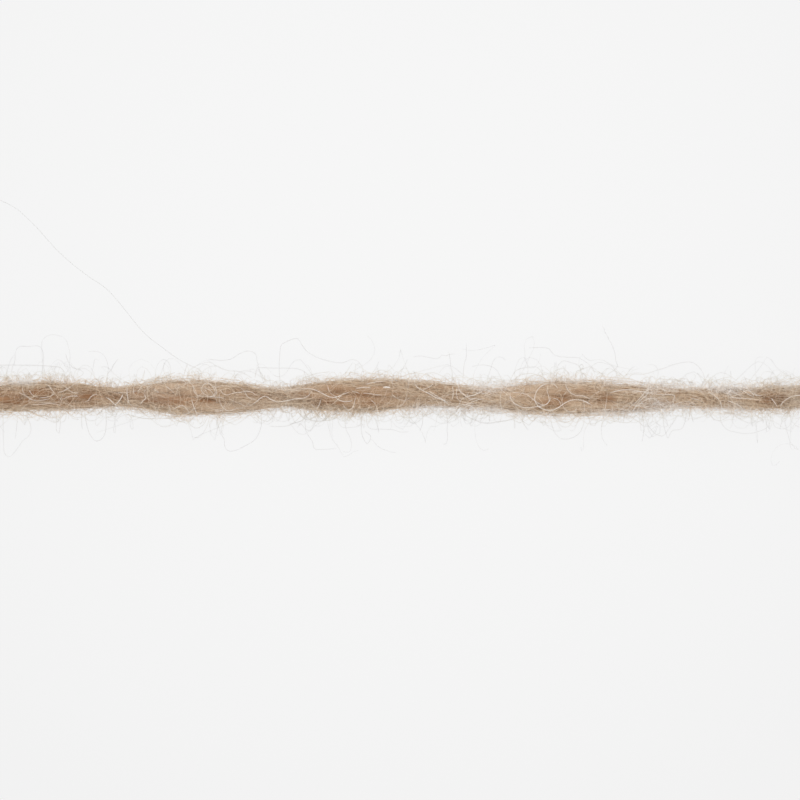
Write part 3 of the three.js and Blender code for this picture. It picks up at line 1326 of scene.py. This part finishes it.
# Pale hairs that lie on the strand.
CURLS = (
    Lay(((-10.6, 0.28), (-10.3, 0.35), (-10.05, 0.42), (-9.9, 0.45)), thick=0.0125, shade=1.1, over=0.07),
    Lay(((-10.03, 0.12), (-9.85, 0.04), (-9.65, -0.08), (-9.5, -0.09), (-9.2, -0.05)), thick=0.0105),
    Lay(((-9.33, 0.33), (-9.26, 0.31), (-9.14, 0.17), (-9.09, 0.1), (-9.14, 0.05), (-9.5, -0.03)),
        thick=0.0105),
    Lay(((-8.55, 0.34), (-8.75, 0.21), (-8.88, 0.14), (-9.0, 0.12)), thick=0.0105),
    Lay(((-8.9, 0.32), (-8.8, 0.27), (-8.7, 0.18), (-8.6, 0.12), (-8.45, 0.1))),
    Lay(((-8.93, -0.18), (-8.9, -0.1), (-8.8, -0.03), (-8.65, 0.02), (-8.45, 0.02))),
    Lay(((-9.7, -0.2), (-9.4, -0.19), (-9.2, -0.17), (-9.0, -0.2), (-8.88, -0.26))),
    Lay(((-8.3, -0.13), (-8.2, -0.1), (-8.15, -0.03), (-8.05, 0.05), (-7.95, 0.07))),
    Lay(((-9.75, 0.18), (-9.7, 0.1), (-9.62, 0.02), (-9.5, 0.0))),
    Lay(((-9.93, 0.25), (-9.91, 0.15), (-9.86, 0.06))),
    Lay(((-7.72, -0.01), (-7.62, -0.07), (-7.53, -0.16), (-7.45, -0.24), (-7.36, -0.32)),
        thick=0.0115, shade=0.96),
    Lay(((-7.28, 0.07), (-7.31, 0.0), (-7.37, -0.09), (-7.43, -0.16), (-7.5, -0.21)),
        thick=0.0105, shade=0.96),
    Lay(((-7.17, 0.22), (-7.17, 0.08), (-7.15, -0.02), (-7.13, -0.15)), thick=0.0115, shade=0.96),
    Lay(((-7.03, 0.3), (-7.0, 0.2), (-6.99, 0.08))),
    Lay(((-6.73, 0.34), (-6.83, 0.24), (-6.88, 0.14))),
    Lay(((-6.53, 0.33), (-6.66, 0.22), (-6.73, 0.13))),
    Lay(((-6.48, 0.2), (-6.42, 0.16), (-6.33, 0.11)), thick=0.0105),
    Lay(((-6.72, 0.07), (-6.68, -0.04), (-6.75, -0.1), (-6.82, -0.19))),
    Lay(((-5.97, -0.33), (-5.85, -0.27), (-5.72, -0.22), (-5.62, -0.3), (-5.54, -0.41))),
    Lay(((-5.48, -0.06), (-5.44, -0.2), (-5.38, -0.35), (-5.33, -0.47)), thick=0.0105),
    Lay(((-6.17, 0.3), (-6.05, 0.2), (-5.93, 0.09))),
    Lay(((-5.22, 0.18), (-5.18, 0.3), (-5.1, 0.36), (-5.0, 0.34), (-4.9, 0.24), (-4.86, 0.1),
         (-4.93, 0.02), (-5.08, 0.04), (-5.2, 0.13), (-5.24, 0.24))),
    Lay(((-5.44, 0.26), (-5.4, 0.12), (-5.32, 0.04), (-5.15, 0.02), (-4.95, 0.0), (-4.75, -0.01),
         (-4.6, -0.04)), thick=0.0095),
    Lay(((-4.95, 0.3), (-4.88, 0.27), (-4.83, 0.2), (-4.82, 0.1), (-4.9, 0.0))),
    Lay(((-4.75, 0.22), (-4.68, 0.12), (-4.55, 0.05), (-4.4, 0.1), (-4.2, 0.12), (-4.0, 0.14),
         (-3.85, 0.1), (-3.77, 0.03))),
    Lay(((-4.02, -0.25), (-3.85, -0.18), (-3.75, -0.1), (-3.65, -0.02), (-3.55, 0.02), (-3.38, -0.07),
         (-3.25, -0.12), (-2.95, -0.09), (-2.75, -0.05), (-2.5, -0.02), (-2.4, 0.04), (-2.31, 0.15)),
        thick=0.0095, shade=0.88),
    Lay(((-4.07, 0.12), (-4.0, 0.0), (-3.9, -0.05), (-3.77, -0.06))),
    Lay(((-4.5, -0.04), (-4.35, -0.12), (-4.2, -0.18), (-4.03, -0.26))),
    Lay(((-2.9, 0.18), (-2.65, 0.22), (-2.45, 0.22), (-2.28, 0.2), (-2.12, 0.13), (-1.98, 0.06),
         (-1.85, 0.0), (-1.7, -0.01), (-1.5, 0.07), (-1.33, 0.13)), thick=0.0095, shade=0.85),
    Lay(((-1.9, 0.28), (-1.87, 0.16), (-1.78, 0.06), (-1.7, 0.02), (-1.55, 0.0))),
    Lay(((-1.7, -0.02), (-1.6, -0.08), (-1.48, -0.12), (-1.25, -0.1)), thick=0.0105),
    Lay(((-1.5, -0.2), (-1.43, -0.3), (-1.36, -0.34), (-1.28, -0.31), (-1.22, -0.23), (-1.19, -0.1),
         (-1.16, 0.02))),
    Lay(((-1.27, 0.14), (-1.17, 0.13), (-1.06, 0.09)), thick=0.0095),
    Lay(((-1.17, 0.21), (-1.0, 0.25), (-0.85, 0.25), (-0.76, 0.23)), thick=0.0105),
    Lay(((-0.97, 0.1), (-0.8, 0.09), (-0.65, 0.06), (-0.48, 0.05))),
    Lay(((-0.44, 0.25), (-0.35, 0.255), (-0.26, 0.24)), thick=0.019, shade=1.13),
    Lay(((-0.77, -0.07), (-0.68, -0.15), (-0.63, -0.23), (-0.59, -0.3)), thick=0.0105),
    Lay(((-2.33, -0.18), (-2.2, -0.3), (-2.12, -0.2), (-2.08, -0.05))),
    Lay(((-0.9, 0.33), (-0.7, 0.38), (-0.55, 0.4), (-0.42, 0.4))),
    Lay(((0.4, 0.32), (0.5, 0.22), (0.62, 0.16), (0.85, 0.04), (0.95, -0.02), (1.08, -0.06), (1.2, -0.13),
         (1.3, -0.22)), thick=0.0115, shade=0.96),
    Lay(((0.73, 0.15), (0.85, 0.1), (0.95, 0.03), (1.1, -0.05), (1.27, -0.14)), thick=0.0095),
    Lay(((0.6, 0.19), (0.7, 0.23), (0.8, 0.28), (0.88, 0.35))),
    Lay(((-0.22, 0.07), (-0.1, -0.02), (0.0, -0.07), (0.1, -0.1), (0.18, -0.07), (0.27, -0.01))),
    Lay(((1.45, 0.36), (1.53, 0.3), (1.56, 0.18), (1.62, 0.1), (1.7, 0.05), (1.77, -0.02)), thick=0.0105),
    Lay(((1.38, 0.28), (1.4, 0.1), (1.37, -0.07))),
    Lay(((1.5, 0.24), (1.48, 0.1), (1.52, -0.05))),
    Lay(((1.73, 0.01), (1.85, 0.03), (1.95, 0.05), (2.05, 0.1), (2.17, 0.15)), thick=0.0115, shade=1.04),
    Lay(((1.8, 0.12), (1.76, 0.0), (1.85, -0.05), (2.02, -0.02))),
    Lay(((2.89, 0.1), (2.9, 0.0), (3.0, -0.16), (3.1, -0.22), (3.22, -0.27), (3.38, -0.28), (3.55, -0.26),
         (3.7, -0.24), (3.82, -0.2), (3.92, -0.12), (3.97, -0.02)), thick=0.0095, shade=0.95),
    Lay(((4.0, 0.37), (3.9, 0.36), (3.8, 0.33), (3.7, 0.27), (3.6, 0.16), (3.55, 0.04), (3.55, -0.1),
         (3.63, -0.24), (3.75, -0.31), (3.9, -0.35), (4.05, -0.33), (4.17, -0.27), (4.3, -0.18),
         (4.45, -0.1), (4.6, -0.07), (4.75, -0.08), (4.9, -0.13), (5.05, -0.22)),
        thick=0.0105, shade=1.02),
    Lay(((3.4, 0.02), (3.5, -0.07), (3.6, -0.14), (3.72, -0.2), (3.84, -0.2), (3.92, -0.1), (3.91, 0.03),
         (3.87, 0.15), (3.89, 0.3)), thick=0.0095),
    Lay(((3.97, 0.38), (4.08, 0.31), (4.15, 0.22)), thick=0.0105),
    Lay(((4.34, 0.37), (4.38, 0.25), (4.42, 0.17), (4.5, 0.1), (4.6, 0.05), (4.75, 0.04), (4.9, 0.0),
         (5.02, -0.06)), thick=0.0105),
    Lay(((4.02, -0.03), (4.12, -0.06), (4.18, -0.1), (4.22, -0.19))),
    Lay(((2.95, 0.12), (3.1, 0.11), (3.25, 0.09), (3.35, 0.05), (3.46, -0.04))),
    Lay(((4.8, -0.1), (4.88, -0.125), (4.98, -0.18)), thick=0.0145, shade=1.13),
    Lay(((5.3, -0.33), (5.4, -0.335), (5.52, -0.32)), thick=0.0105),
    Lay(((6.08, -0.42), (6.17, -0.3), (6.23, -0.2), (6.3, -0.1), (6.4, -0.02), (6.5, 0.07)),
        thick=0.0115, shade=0.96),
    Lay(((6.5, 0.42), (6.53, 0.3), (6.5, 0.17), (6.3, 0.14), (6.08, 0.14)), thick=0.0095),
    Lay(((6.93, 0.07), (7.1, 0.06), (7.2, 0.04), (7.22, -0.07)), thick=0.0095),
    Lay(((6.52, -0.38), (6.62, -0.25), (6.7, -0.13)), thick=0.0095),
    Lay(((5.68, -0.42), (5.85, -0.3), (6.0, -0.25), (6.13, -0.28))),
    Lay(((6.43, 0.07), (6.6, 0.12), (6.83, 0.13))),
    Lay(((8.12, 0.12), (8.25, 0.04), (8.33, -0.02), (8.4, -0.1), (8.44, -0.2), (8.46, -0.33)),
        thick=0.0105, shade=0.87),
    Lay(((8.6, 0.0), (8.75, -0.02), (8.9, -0.03), (9.1, -0.04), (9.3, -0.06), (9.5, -0.09)),
        thick=0.0105, shade=0.96),
    Lay(((8.62, -0.1), (8.8, -0.17), (8.95, -0.25), (9.03, -0.34)), thick=0.0115, shade=0.96),
    Lay(((8.98, 0.08), (9.1, 0.17), (9.2, 0.14), (9.28, 0.08), (9.29, -0.02)), thick=0.0095),
    Lay(((9.28, 0.13), (9.4, 0.05), (9.5, 0.04), (9.62, 0.08))),
    Lay(((9.75, -0.02), (9.83, -0.12), (9.88, -0.19), (9.92, -0.25)), thick=0.0115, shade=0.96),
    Lay(((8.28, 0.32), (8.4, 0.2), (8.5, 0.13), (8.68, 0.07)), thick=0.0115, shade=0.96),
    Lay(((8.45, 0.28), (8.6, 0.18), (8.75, 0.12), (8.9, 0.06)), thick=0.0105, shade=0.96),
    Lay(((8.82, 0.2), (9.0, 0.18), (9.12, 0.11))),
    Lay(((7.57, -0.22), (7.68, -0.14), (7.78, -0.22))),
    Lay(((8.42, 0.33), (8.55, 0.27), (8.71, 0.18), (8.86, 0.08), (9.0, -0.01)), thick=0.0105, shade=0.96),
    Lay(((8.62, 0.3), (8.75, 0.28), (8.88, 0.24), (9.02, 0.17), (9.14, 0.08), (9.32, -0.01)),
        thick=0.0105, shade=0.96),
    Lay(((8.82, 0.27), (9.0, 0.25), (9.14, 0.21), (9.24, 0.12), (9.34, 0.05), (9.5, 0.03)),
        thick=0.0095, shade=0.9),
    Lay(((8.28, 0.31), (8.45, 0.22), (8.62, 0.1), (8.8, -0.04)), thick=0.0095, shade=0.9),
    Lay(((10.0, -0.26), (10.05, -0.16), (10.15, -0.07), (10.28, 0.0), (10.45, 0.04), (10.6, 0.04)),
        thick=0.0105, shade=0.96),
    Lay(((5.5, 0.1), (5.75, 0.17), (6.05, 0.19), (6.4, 0.13), (6.7, 0.08), (6.95, 0.05)),
        thick=0.0095, shade=0.85),
    Lay(((6.0, -0.3), (6.2, -0.14), (6.38, 0.06), (6.55, 0.28)), thick=0.0095, shade=0.9),
)

# Loose hairs that stand off beside it.
STRAYS = (
    Lay(((-11.4, 5.36), (-10.9, 5.29), (-10.53, 5.18), (-10.16, 5.0), (-9.68, 4.58), (-8.95, 3.79),
         (-8.32, 3.26), (-7.66, 2.79), (-7.47, 2.58), (-7.13, 2.16), (-6.7, 1.65), (-6.25, 1.3),
         (-5.8, 0.98), (-5.5, 0.82), (-5.35, 0.77), (-5.18, 0.6), (-5.05, 0.4)), thick=0.0068),
    Lay(((-10.9, 0.84), (-10.2, 0.84), (-9.5, 0.83), (-9.1, 0.8), (-8.95, 0.78), (-8.86, 0.7),
         (-8.82, 0.55), (-8.75, 0.4)), thick=0.0076),
    Lay(((-10.2, 0.4), (-10.2, 0.78), (-10.13, 0.95), (-10.12, 1.18), (-10.05, 1.3), (-9.75, 1.33),
         (-9.47, 1.32), (-9.4, 1.2), (-9.38, 1.05), (-9.41, 0.7), (-9.4, 0.4)), thick=0.0056),
    Lay(((-10.35, 0.4), (-10.32, 0.75), (-10.25, 0.95), (-10.17, 1.1)), thick=0.0056),
    Lay(((-9.3, 0.4), (-9.42, 1.2), (-9.4, 1.5), (-9.25, 1.62), (-9.0, 1.62), (-8.82, 1.54), (-8.72, 1.3),
         (-8.68, 1.1), (-8.7, 0.85), (-8.6, 0.4)), thick=0.0043),
    Lay(((-8.8, 1.14), (-8.75, 0.97), (-8.68, 0.85), (-8.6, 0.77), (-8.4, 0.72)), thick=0.007),
    Lay(((-7.42, 1.0), (-7.53, 0.85), (-7.6, 0.72), (-7.68, 0.62), (-7.72, 0.3)), thick=0.0066),
    Lay(((-8.2, 1.2), (-8.0, 1.2), (-7.85, 1.15), (-7.7, 0.9), (-7.75, 0.3)), thick=0.0043),
    Lay(((-5.5, 0.75), (-5.2, 0.88), (-5.05, 0.92), (-4.8, 0.8), (-4.55, 0.7), (-4.2, 0.66), (-3.9, 0.5)),
        thick=0.0056),
    Lay(((-5.1, 1.0), (-4.6, 0.97), (-4.45, 1.0), (-4.2, 1.15), (-3.95, 1.21), (-3.82, 1.15),
         (-3.75, 0.9), (-3.68, 0.65), (-3.58, 0.35)), thick=0.0056),
    Lay(((-4.36, 0.7), (-4.36, 0.6), (-4.4, 0.54), (-4.5, 0.4)), thick=0.0061),
    Lay(((-3.15, 0.3), (-3.18, 0.75), (-3.16, 1.15), (-3.13, 1.36), (-2.95, 1.47), (-2.68, 1.53),
         (-2.6, 1.4), (-2.47, 1.22), (-2.2, 1.05), (-1.85, 0.94), (-1.5, 0.9), (-1.3, 0.98),
         (-1.15, 0.97), (-1.03, 0.85), (-0.95, 0.6), (-0.9, 0.4)), thick=0.0061),
    Lay(((-3.78, 0.78), (-3.4, 0.76), (-2.95, 0.76), (-2.75, 0.75), (-2.5, 0.66), (-2.3, 0.4)),
        thick=0.0056),
    Lay(((-3.82, 0.5), (-3.75, 0.75), (-3.65, 0.63), (-3.55, 0.4)), thick=0.0056),
    Lay(((-1.25, 0.4), (-1.18, 0.7), (-1.15, 0.85), (-1.06, 0.88)), thick=0.0056),
    Lay(((-2.5, 0.5), (-2.2, 0.62), (-2.05, 0.64), (-1.85, 0.67)), thick=0.0061),
    Lay(((-0.85, 0.4), (-0.75, 0.6), (-0.63, 0.76), (-0.55, 0.95)), thick=0.0056),
    Lay(((0.35, 1.05), (0.5, 1.08), (0.7, 1.05), (1.03, 1.03), (1.1, 1.1), (1.2, 1.08), (1.3, 1.12),
         (1.45, 1.13)), thick=0.0047),
    Lay(((1.28, 1.18), (1.32, 1.0), (1.33, 0.85), (1.36, 0.7), (1.4, 0.4)), thick=0.0056),
    Lay(((0.0, 0.4), (0.05, 0.7), (0.12, 0.82), (0.2, 1.0)), thick=0.0047),
    Lay(((1.74, 1.42), (1.75, 1.2), (1.74, 1.05), (1.7, 0.9), (1.65, 0.4)), thick=0.0052),
    Lay(((1.9, 0.8), (2.1, 0.84), (2.3, 0.83), (2.5, 0.75), (2.7, 0.4)), thick=0.0052),
    Lay(((2.9, 0.45), (3.05, 0.69), (3.2, 0.75), (3.35, 0.78), (3.6, 0.78), (3.8, 0.5)), thick=0.0056),
    Lay(((3.0, 0.45), (3.15, 0.57), (3.3, 0.61), (3.45, 0.62), (3.65, 0.56)), thick=0.0066),
    Lay(((4.1, 0.45), (4.2, 0.88), (4.3, 0.95), (4.45, 0.92), (4.7, 0.82), (4.8, 0.5)), thick=0.0056),
    Lay(((3.4, 1.29), (3.7, 1.3), (3.9, 1.28), (4.05, 1.12), (4.5, 1.04), (4.7, 1.03), (4.85, 0.95),
         (5.05, 0.78), (5.12, 0.67), (5.25, 0.65), (5.42, 0.5)), thick=0.0052),
    Lay(((4.62, 0.5), (4.66, 0.68), (4.75, 0.71), (4.82, 0.8), (4.79, 0.86), (4.73, 0.82), (4.76, 0.74),
         (4.84, 0.74)), thick=0.008, shade=0.1),
    Lay(((5.32, 1.9), (5.41, 1.68), (5.55, 1.42), (5.65, 1.18), (5.68, 0.95), (5.72, 0.8), (5.62, 0.7),
         (5.5, 0.62), (5.38, 0.45)), thick=0.0061),
    Lay(((5.95, 0.4), (6.1, 0.59), (6.4, 0.6), (6.75, 0.7), (7.0, 0.78), (7.15, 0.84), (7.35, 0.89),
         (7.5, 0.92), (7.65, 0.92), (7.8, 0.85), (7.95, 0.68), (8.05, 0.3)), thick=0.0061),
    Lay(((5.65, 0.7), (5.8, 0.6), (5.9, 0.55), (6.0, 0.65), (6.08, 0.75), (6.17, 0.8)), thick=0.0061),
    Lay(((6.7, 0.3), (6.8, 0.47), (7.0, 0.46), (7.2, 0.46), (7.4, 0.42), (7.55, 0.3)),
        thick=0.0066, shade=0.6),
    Lay(((8.6, 0.25), (8.7, 0.42), (8.71, 0.55), (8.7, 0.68)), thick=0.0066),
    Lay(((8.1, 0.35), (8.35, 0.44), (8.5, 0.5), (8.68, 0.53)), thick=0.0066, shade=0.7),
    Lay(((9.5, 0.35), (9.6, 0.45), (9.75, 0.5), (9.9, 0.53), (9.95, 0.4)), thick=0.0066, shade=0.6),
    Lay(((8.5, -0.4), (8.8, -0.45), (9.0, -0.5), (9.25, -0.53)), thick=0.007, shade=0.7),
    Lay(((9.2, -0.35), (9.4, -0.5), (9.58, -0.62)), thick=0.0066, shade=0.7),
    Lay(((8.4, -0.3), (8.5, -0.75), (8.63, -0.87), (8.8, -0.92), (9.1, -0.965), (9.4, -0.92),
         (9.68, -0.78), (9.75, -0.3)), thick=0.0061),
    Lay(((7.66, -0.2), (7.66, -0.45), (7.72, -0.66)), thick=0.0076, shade=0.4),
    Lay(((7.63, -0.2), (7.62, -0.45), (7.59, -0.62)), thick=0.0066),
    Lay(((8.1, -0.3), (8.2, -0.5), (8.27, -0.62)), thick=0.0066, shade=0.6),
    Lay(((9.8, -0.3), (9.9, -0.8), (10.05, -0.84), (10.2, -0.8), (10.32, -0.6), (10.4, -0.3)),
        thick=0.0056),
    Lay(((-10.45, -0.3), (-10.44, -0.8), (-10.43, -1.2), (-10.38, -1.52), (-10.3, -1.58), (-10.15, -1.46),
         (-9.92, -1.15), (-9.75, -1.0), (-9.71, -0.8), (-9.8, -0.55), (-9.9, -0.3)), thick=0.0066),
    Lay(((-10.05, -0.3), (-10.08, -0.7), (-10.1, -0.9), (-10.13, -1.1)), thick=0.0052),
    Lay(((-9.03, -0.3), (-9.04, -0.7), (-9.03, -0.9), (-8.98, -0.95), (-8.95, -0.8), (-8.95, -0.3)),
        thick=0.0052),
    Lay(((-8.8, -0.35), (-8.7, -0.45), (-8.62, -0.55), (-8.45, -0.6)), thick=0.0066, shade=0.6),
    Lay(((-8.35, -0.3), (-8.38, -0.6), (-8.36, -0.85)), thick=0.0061),
    Lay(((-8.3, -0.3), (-8.25, -0.7), (-8.15, -1.0), (-8.0, -1.16), (-7.88, -1.13), (-7.78, -1.0),
         (-7.73, -0.7), (-7.75, -0.3)), thick=0.0066),
    Lay(((-7.2, -0.45), (-6.7, -0.57), (-6.4, -0.56), (-6.1, -0.56), (-5.85, -0.48)),
        thick=0.0066, shade=0.7),
    Lay(((-5.95, -0.5), (-5.85, -0.63), (-5.65, -0.67)), thick=0.0066, shade=0.6),
    Lay(((-5.6, -0.6), (-5.48, -0.77), (-5.35, -0.82), (-5.2, -0.75), (-5.05, -0.5)), thick=0.0061),
    Lay(((-5.45, -1.05), (-5.33, -1.07), (-5.15, -0.9), (-5.05, -0.68), (-5.0, -0.4)), thick=0.0056),
    Lay(((-4.85, -0.4), (-4.78, -0.75), (-4.7, -1.0), (-4.63, -1.1), (-4.61, -1.3), (-4.54, -1.41),
         (-4.4, -1.42), (-4.1, -1.3), (-3.8, -1.1), (-3.66, -0.8), (-3.65, -0.4)), thick=0.0061),
    Lay(((-4.7, -0.4), (-4.67, -0.75), (-4.71, -0.88), (-4.63, -1.02)), thick=0.0056),
    Lay(((-2.9, -0.72), (-2.75, -0.68), (-2.6, -0.63), (-2.5, -0.55), (-2.35, -0.4)),
        thick=0.008, shade=0.5),
    Lay(((-3.45, -0.77), (-3.15, -0.78), (-2.9, -0.74), (-2.6, -0.5)), thick=0.0056),
    Lay(((-2.7, -0.8), (-2.62, -0.72), (-2.48, -0.85), (-2.38, -0.9), (-2.25, -0.7), (-2.1, -0.4)),
        thick=0.0066),
    Lay(((-2.5, -0.4), (-2.45, -0.95), (-2.32, -1.15), (-2.22, -1.38), (-2.1, -1.38), (-1.67, -1.36)),
        thick=0.0056),
    Lay(((-2.55, -0.35), (-2.4, -0.58), (-2.2, -0.64), (-2.0, -0.62), (-1.8, -0.4)),
        thick=0.0085, shade=0.4),
    Lay(((-2.3, -0.35), (-2.1, -0.55), (-1.9, -0.62), (-1.7, -0.55), (-1.55, -0.4)),
        thick=0.0076, shade=0.4),
    Lay(((-2.7, -0.35), (-2.6, -0.5), (-2.45, -0.6), (-2.25, -0.53), (-2.1, -0.38)),
        thick=0.0085, shade=0.5),
    Lay(((-1.45, -0.35), (-1.4, -0.9), (-1.32, -1.05), (-1.29, -1.35), (-1.33, -1.44), (-1.5, -1.44)),
        thick=0.0056),
    Lay(((-1.0, -0.3), (-1.02, -0.7), (-0.98, -1.05), (-0.86, -1.23), (-0.77, -1.05), (-0.92, -0.9)),
        thick=0.0066),
    Lay(((-1.7, -0.35), (-1.5, -0.8), (-1.3, -0.8), (-1.1, -0.77), (-0.95, -0.35)), thick=0.0056),
    Lay(((-0.9, -0.3), (-0.8, -0.82), (-0.45, -0.85), (-0.15, -0.87), (0.0, -0.92), (0.22, -0.92)),
        thick=0.0056),
    Lay(((-0.77, -1.1), (-0.5, -1.35), (-0.3, -1.43), (-0.1, -1.47)), thick=0.0043),
    Lay(((-0.6, -0.3), (-0.57, -0.6), (-0.54, -0.72)), thick=0.0061),
    Lay(((-0.1, -0.35), (0.1, -0.53), (0.25, -0.55), (0.4, -0.52), (0.55, -0.35)),
        thick=0.007, shade=0.5),
    Lay(((0.56, -0.2), (0.6, -0.6), (0.58, -0.75), (0.52, -0.9)), thick=0.0066),
    Lay(((1.2, -0.2), (1.25, -0.65), (1.24, -0.85), (1.25, -1.1), (1.2, -1.24), (1.12, -1.25)),
        thick=0.0052),
    Lay(((1.6, -0.35), (1.75, -0.5), (2.0, -0.62), (2.12, -0.67), (2.3, -0.69), (2.6, -0.65), (2.9, -0.6),
         (3.1, -0.5), (3.2, -0.35)), thick=0.008, shade=0.6),
    Lay(((2.3, -0.2), (2.35, -0.5), (2.36, -0.64)), thick=0.0066),
    Lay(((3.15, -0.35), (3.25, -0.7), (3.38, -0.88)), thick=0.0056),
    Lay(((3.95, -0.35), (4.0, -0.75), (4.1, -0.98), (4.25, -1.1), (4.45, -1.1), (4.7, -0.97),
         (4.82, -0.75), (4.85, -0.35)), thick=0.0056),
    Lay(((5.4, -0.35), (5.3, -0.85), (5.33, -1.1), (5.45, -1.28)), thick=0.0047),
    Lay(((5.3, -0.4), (5.5, -0.6), (5.78, -0.66), (6.05, -0.66), (6.2, -0.5)), thick=0.0061),
    Lay(((6.38, -0.3), (6.41, -0.8), (6.4, -1.0), (6.37, -1.18)), thick=0.0056),
    Lay(((6.4, -0.35), (6.55, -0.78), (6.78, -1.0), (6.88, -1.03), (7.1, -0.8), (7.3, -0.5)),
        thick=0.0056),
    Lay(((6.9, -0.3), (6.98, -0.9), (7.05, -1.08), (7.15, -0.9), (7.4, -0.84), (7.55, -0.4)),
        thick=0.0056),
)


# --- The studio ----------------------------------------------------------------------------


@dataclass
class Studio:
    """The pale surface, the soft light and the camera, in metres.

    The surface glows a little, most at glow_centre, and glow_fall is how fast the glow falls
    away from there, down to its glow_least share.
    """

    view_width: float = 21.05 * MM
    look_aside: float = -0.08 * MM
    look_height: float = 0.43 * MM
    distance: float = 0.25
    sensor: float = 36.0
    clip: tuple[float, float] = (0.001, 10.0)
    surface_size: float = 4.0
    surface_grey: float = 0.06
    glow: float = 0.854
    glow_centre: tuple[float, float, float] = (0.0, 4.0 * MM, 0.0)
    glow_fall: float = 140.0
    glow_least: float = 0.96
    lamp_size: float = 0.2
    lamp_power: float = 0.25
    lamp_place: tuple[float, float, float] = (-0.05, 0.22, 0.25)
    softness: float = 1.65

    def build_camera(self) -> None:
        """Sets the camera straight above the strand."""
        data = bpy.data.cameras.new("camera")
        data.sensor_width = self.sensor
        data.lens = self.sensor * self.distance / self.view_width
        data.clip_start, data.clip_end = self.clip
        camera = bpy.data.objects.new("camera", data)
        camera.location = (0.0, self.look_aside, self.distance + self.look_height)
        bpy.context.scene.collection.objects.link(camera)
        bpy.context.scene.camera = camera

    def build_surface(self) -> None:
        """Lays the pale surface that the strand lies on."""
        bpy.ops.object.select_all(action="DESELECT")
        bpy.ops.mesh.primitive_plane_add(size=self.surface_size, location=(0, 0, 0))
        surface = bpy.context.object
        surface.name = surface.data.name = "surface"
        material = new_material("pale_surface")
        tree = material.node_tree
        place = tree.nodes.new("ShaderNodeTexCoord").outputs["Object"]
        from_centre = {0: place, 1: self.glow_centre}
        off = add_node(tree, "ShaderNodeVectorMath", from_centre, operation="SUBTRACT").outputs["Vector"]
        square = add_node(tree, "ShaderNodeVectorMath", {0: off, 1: off}, operation="DOT_PRODUCT")
        glow = maths(tree, "MULTIPLY_ADD", square.outputs["Value"], -self.glow_fall, 1.0)
        finish = {
            "Base Color": (self.surface_grey, self.surface_grey, self.surface_grey, 1.0),
            "Roughness": 1.0,
            "Specular IOR Level": 0.0,
            "Emission Color": maths(tree, "MAXIMUM", glow, self.glow_least),
            "Emission Strength": self.glow,
        }
        feed(tree.nodes["Principled BSDF"], finish)
        surface.data.materials.append(material)

    def build_light(self) -> None:
        """Soft light from all round, and a little more of it from beyond the strand."""
        world = bpy.data.worlds.new("studio")
        world.use_nodes = True
        feed(world.node_tree.nodes["Background"], {"Color": (1.0, 1.0, 1.0, 1.0), "Strength": 1.0})
        bpy.context.scene.world = world
        lamp = bpy.data.lights.new("soft_box", "AREA")
        lamp.size = self.lamp_size
        lamp.energy = self.lamp_power
        box = bpy.data.objects.new("soft_box", lamp)
        box.location = self.lamp_place
        direction = -np.array(box.location)
        box.rotation_euler = (
            math.atan2(math.hypot(direction[0], direction[1]), -direction[2]),
            0.0,
            math.atan2(direction[0], -direction[1]) + math.pi,
        )
        bpy.context.scene.collection.objects.link(box)

    def set_view(self) -> None:
        """Shows colours as they are, with the soft edges of a close view."""
        view = bpy.context.scene.view_settings
        view.view_transform = "Standard"
        view.look = "None"
        bpy.context.scene.cycles.filter_width = self.softness


def main() -> None:
    """Builds the studio, then the strand's pieces from the core outwards."""
    logging.basicConfig(level=logging.INFO, format="%(message)s")
    form = StrandForm()
    studio = Studio()
    studio.build_camera()
    studio.build_surface()
    studio.build_light()
    studio.set_view()

    tint = Tint().make()
    inner = CoreFinish("yarn_core").make(tint)
    spun = FibreFinish("spun_fibres").make(tint)
    loose = FibreFinish("loose_fibres", sheen=0.1).make(tint)

    core = Core(form)
    body = core.build(inner)
    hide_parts(NODE)
    plies = [
        PlyFibres(form, "ply_fibres_1", seed=11),
        PlyFibres(form, "ply_fibres_2", seed=12),
        PlyFibres(form, "ply_fibres_3", seed=13, spread=0.35, crossing=0.8),
    ]
    outside = [
        Halo(
            form, "surface_fibres", seed=21, count=1700, steps=14, length=(0.6, 2.2),
            bend=3.0, near=0.85, far=0.02, thickness=(0.004, 0.0055), shade=0.46,
        ),
        Halo(
            form, "pale_curls", seed=24, count=45, steps=20, length=(0.5, 2.0),
            near=1.05, far=0.03, thickness=(0.007, 0.009), shade=0.85,
        ),
        Halo(
            form, "edge_fuzz", seed=25, count=900, steps=16, length=(0.4, 1.4),
            bend=8.0, unrest=0.35, outwards=0.9, far=0.08, thickness=(0.004, 0.0052), shade=0.46,
        ),
        Halo(
            form, "tufts", seed=26, count=420, steps=18, length=(0.5, 1.9), tufts=TUFTS,
            bend=7.0, unrest=0.35, outwards=0.9, far=0.26, thickness=(0.004, 0.0052), shade=0.46,
        ),
        Halo(
            form, "halo_1", seed=22, count=420, steps=20, length=(0.8, 2.6),
            bend=3.0, far=0.12, thickness=(0.0045, 0.006),
        ),
        Halo(
            form, "halo_2", seed=23, count=380, steps=22, length=(1.2, 5.0),
            far=0.3, thickness=(0.004, 0.0055),
        ),
        LaidFibres(form, "curls", CURLS, seed=31),
        LaidFibres(form, "strays", STRAYS, seed=32),
    ]
    pieces = [layer.build(spun) for layer in plies] + [layer.build(loose) for layer in outside]
    core.centreline()[0]
    core.centreline()


if __name__ == "__main__":
    main()
